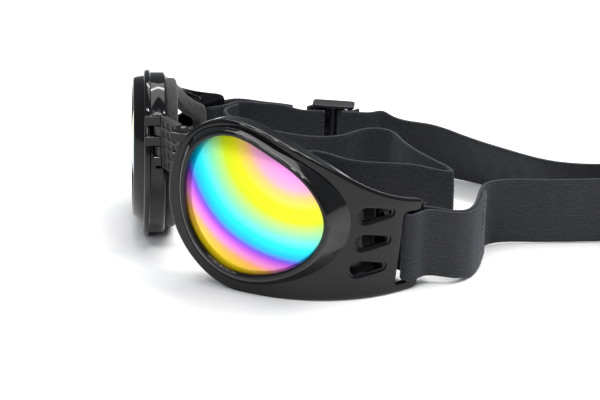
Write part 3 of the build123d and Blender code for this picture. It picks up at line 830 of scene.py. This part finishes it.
def stitches(name, line, rows, slant, face_gap):
    """Rows of zigzag stitches that run slanting across a strap, on its outer face."""
    points, faces = [], []
    low, high = line[:, :3], line[:, 3:]
    for row in rows:
        for k in range(STITCHES):
            v = 1.2 + k * STITCH_PITCH
            i = int(np.clip(row + slant * v, 1, len(line) - 2))
            across = (high[i] - low[i]) / np.linalg.norm(high[i] - low[i])
            ahead = line[i + 1][:3] - line[i - 1][:3]
            ahead /= np.linalg.norm(ahead)
            face = np.cross(across, ahead)
            middle = low[i] + across * v + face * face_gap
            run = across * 0.5 + ahead * (0.42 if k % 2 else -0.42)
            sideways = np.cross(run, face)
            sideways /= np.linalg.norm(sideways)
            base = len(points)
            for t in np.linspace(-1, 1, 6):
                thick = STITCH_R * (1 - t * t) ** 0.5 + 0.03
                for turn in np.linspace(0, 2 * pi, 6, endpoint=False):
                    points.append(middle + run * t + sideways * thick * cos(turn) + face * thick * sin(turn))
            faces += [tuple(base + f for f in quad) for quad in tube_faces(6, 6, False)]
            faces += [tuple(base + q for q in range(6)), tuple(base + 30 + q for q in reversed(range(6)))]
    piece = make_mesh(name, points, faces, THREAD)
    return piece


LEFT_RAILS = [
    rail(55.9, 94.9, 0.5),
    rail(61.6, 88.4, 0.2),
    rail(66.9, 80.6, 0.6),
    rail(67.7, 72.2, 2.2),
    *bar_turn(1),
    rail(65.6, 72.6, 2.2),
    rail(65.2, 79.9, 0.6),
    rail(60.6, 87.2, 0.2),
    rail(54.5, 93.9, 0.5),
    rail(50.9, 100.3, 0.7, 0, 0),
    rail(52.2, 107.2, 0.6, 0, 0),
    rail(57.6, 115.8, 0.4, 0, 0),
    rail(64.6, 126.4, 0.3, 0, 0),
    rail(72.0, 138.0, 0.3, 0, 0),
    rail(79.4, 150.2, 0.3, 0, 0),
    rail(81.4, 157.5, 0.3, 0, 0),
    rail(77.6, 163.0, 0.3, 0, 0),
    rail(70.4, 161.4, 0.3, 0.4, -1.5),
    rail(60.0, 152.4, 0.3, 1.0, -5.0),
    rail(46.0, 144.6, 0.3, 1.5, -8.6),
    rail(26.0, 139.6, 0.3, 1.5, -10.0),
    rail(6.0, 134.6, 0.3, 1.5, -9.6),
    rail(-9.0, 126.0, 0.4, 1.5, -6.5),
    rail(-20.5, 114.4, 0.9, 0.8, -2.4),
]
RIGHT_RAILS_OUT = [
    rail(-48.6, 83.6, 2.4, 0.4, 0.7),
    rail(-56.0, 77.4, 2.6, 0.4, 0.7),
    rail(-62.8, 70.6, 3.0, 0.4, 0.7),
]
RIGHT_RAILS_IN = [
    rail(-60.0, 69.6, 3.0, 0.4, 0.7),
    rail(-54.6, 76.4, 2.6, 0.4, 0.7),
    rail(-47.6, 82.6, 2.4, 0.4, 0.7),
]
UNDER_LEFT_RAILS = [
    rail(57.2, 68.0, 3.2),
    rail(56.4, 62.4, 3.2),
    rail(46.0, 59.2, 2.6),
    rail(18.0, 60.2, 1.6),
    rail(-4.0, 61.2, 1.2),
    rail(-8.0, 64.4, 1.0),
    rail(-5.0, 68.4, 1.0),
    rail(4.6, 71.8, 0.9),
    rail(16.0, 80.6, 0.8),
    rail(25.0, 89.4, 0.8),
    rail(34.2, 94.8, 0.8, 0, 0),
    rail(36.0, 96.6, 0.8, 0, 0),
    rail(31.6, 98.0, 0.8, 0, 0),
]
UNDER_RIGHT_RAILS = [
    rail(31.2, 98.0, 0.8, 0, 0),
    rail(18.0, 98.2, 0.8, 0, 0),
    rail(2.0, 100.0, 0.8),
    rail(-8.6, 101.4, 0.8),
    rail(-13.2, 96.4, 0.9),
    rail(-13.4, 86.4, 1.0, 0, 0),
    rail(-17.0, 76.0, 1.4, 0, 0),
    rail(-28.0, 66.2, 2.0, 0.4, 0.7),
    rail(-46.0, 59.4, 2.8, 0.4, 0.7),
    rail(-56.2, 62.0, 3.2, 0.4, 0.7),
    rail(-57.2, 68.0, 3.2, 0.4, 0.7),
]
ADJUSTER_SPOT, ADJUSTER_TURN, WEAVE_HALF_L = np.array([-36.0, 96.5]), radians(49.0), 9.5
WEAVE = ((-9.5, 0.6), (-8.4, 1.7), (-6.6, 3.3), (-3.0, 3.45), (0.4, 3.2), (2.6, 0.6), (4.4, -1.8), (7.4, -2.1), (9.5, 0.0))


def at_adjuster(ahead, outward, lift=2.0):
    """A strap's edges at the adjuster: ahead along the strap, and outward from the head."""
    turn = ADJUSTER_TURN
    x = ADJUSTER_SPOT[0] + ahead * cos(turn) - outward * sin(turn)
    y = ADJUSTER_SPOT[1] + ahead * sin(turn) + outward * cos(turn)
    return rail(x, y, lift, 0.4, 0.7)


def straps():
    # Both lengths of the head strap end beside the adjuster's own length, so that no gap opens as it slides.
    left_end = [at_adjuster(*spot) for spot in ((18.0, -1.5), (14.6, -3.2), (9.0, -3.5), (3.6, -3.5))]
    left, left_line = strap("left_strap_webbing", LEFT_RAILS + left_end)
    thread_rows = stitches("left_seam_threads", left_line, (14.0, 17.5), -0.42, STRAP_T / 2 + 0.05)
    right_start = [at_adjuster(-15.2, 1.1)]
    right_end = [at_adjuster(*spot) for spot in ((-14.2, -1.9), (-11.4, -3.3), (-7.0, -3.5), (-2.8, -3.5))]
    right_rails = right_start + RIGHT_RAILS_OUT + bar_turn(-1) + RIGHT_RAILS_IN + right_end
    right, _ = strap("right_strap_webbing", right_rails)
    weave, _ = strap("woven_strap_webbing", [at_adjuster(*spot) for spot in WEAVE], 0.4)
    near, _ = strap("under_strap_near_webbing", UNDER_LEFT_RAILS)
    far, _ = strap("under_strap_far_webbing", UNDER_RIGHT_RAILS)
    for piece in (left, thread_rows):
        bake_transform(piece)
    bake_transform(right)
    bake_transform(near)
    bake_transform(far)
    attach(weave, "adjuster")
    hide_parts("left_strap")
    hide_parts("left_strap_seam")
    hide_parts("right_strap")
    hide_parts("woven_strap")
    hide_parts("under_strap_left")
    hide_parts("under_strap_right")


straps()
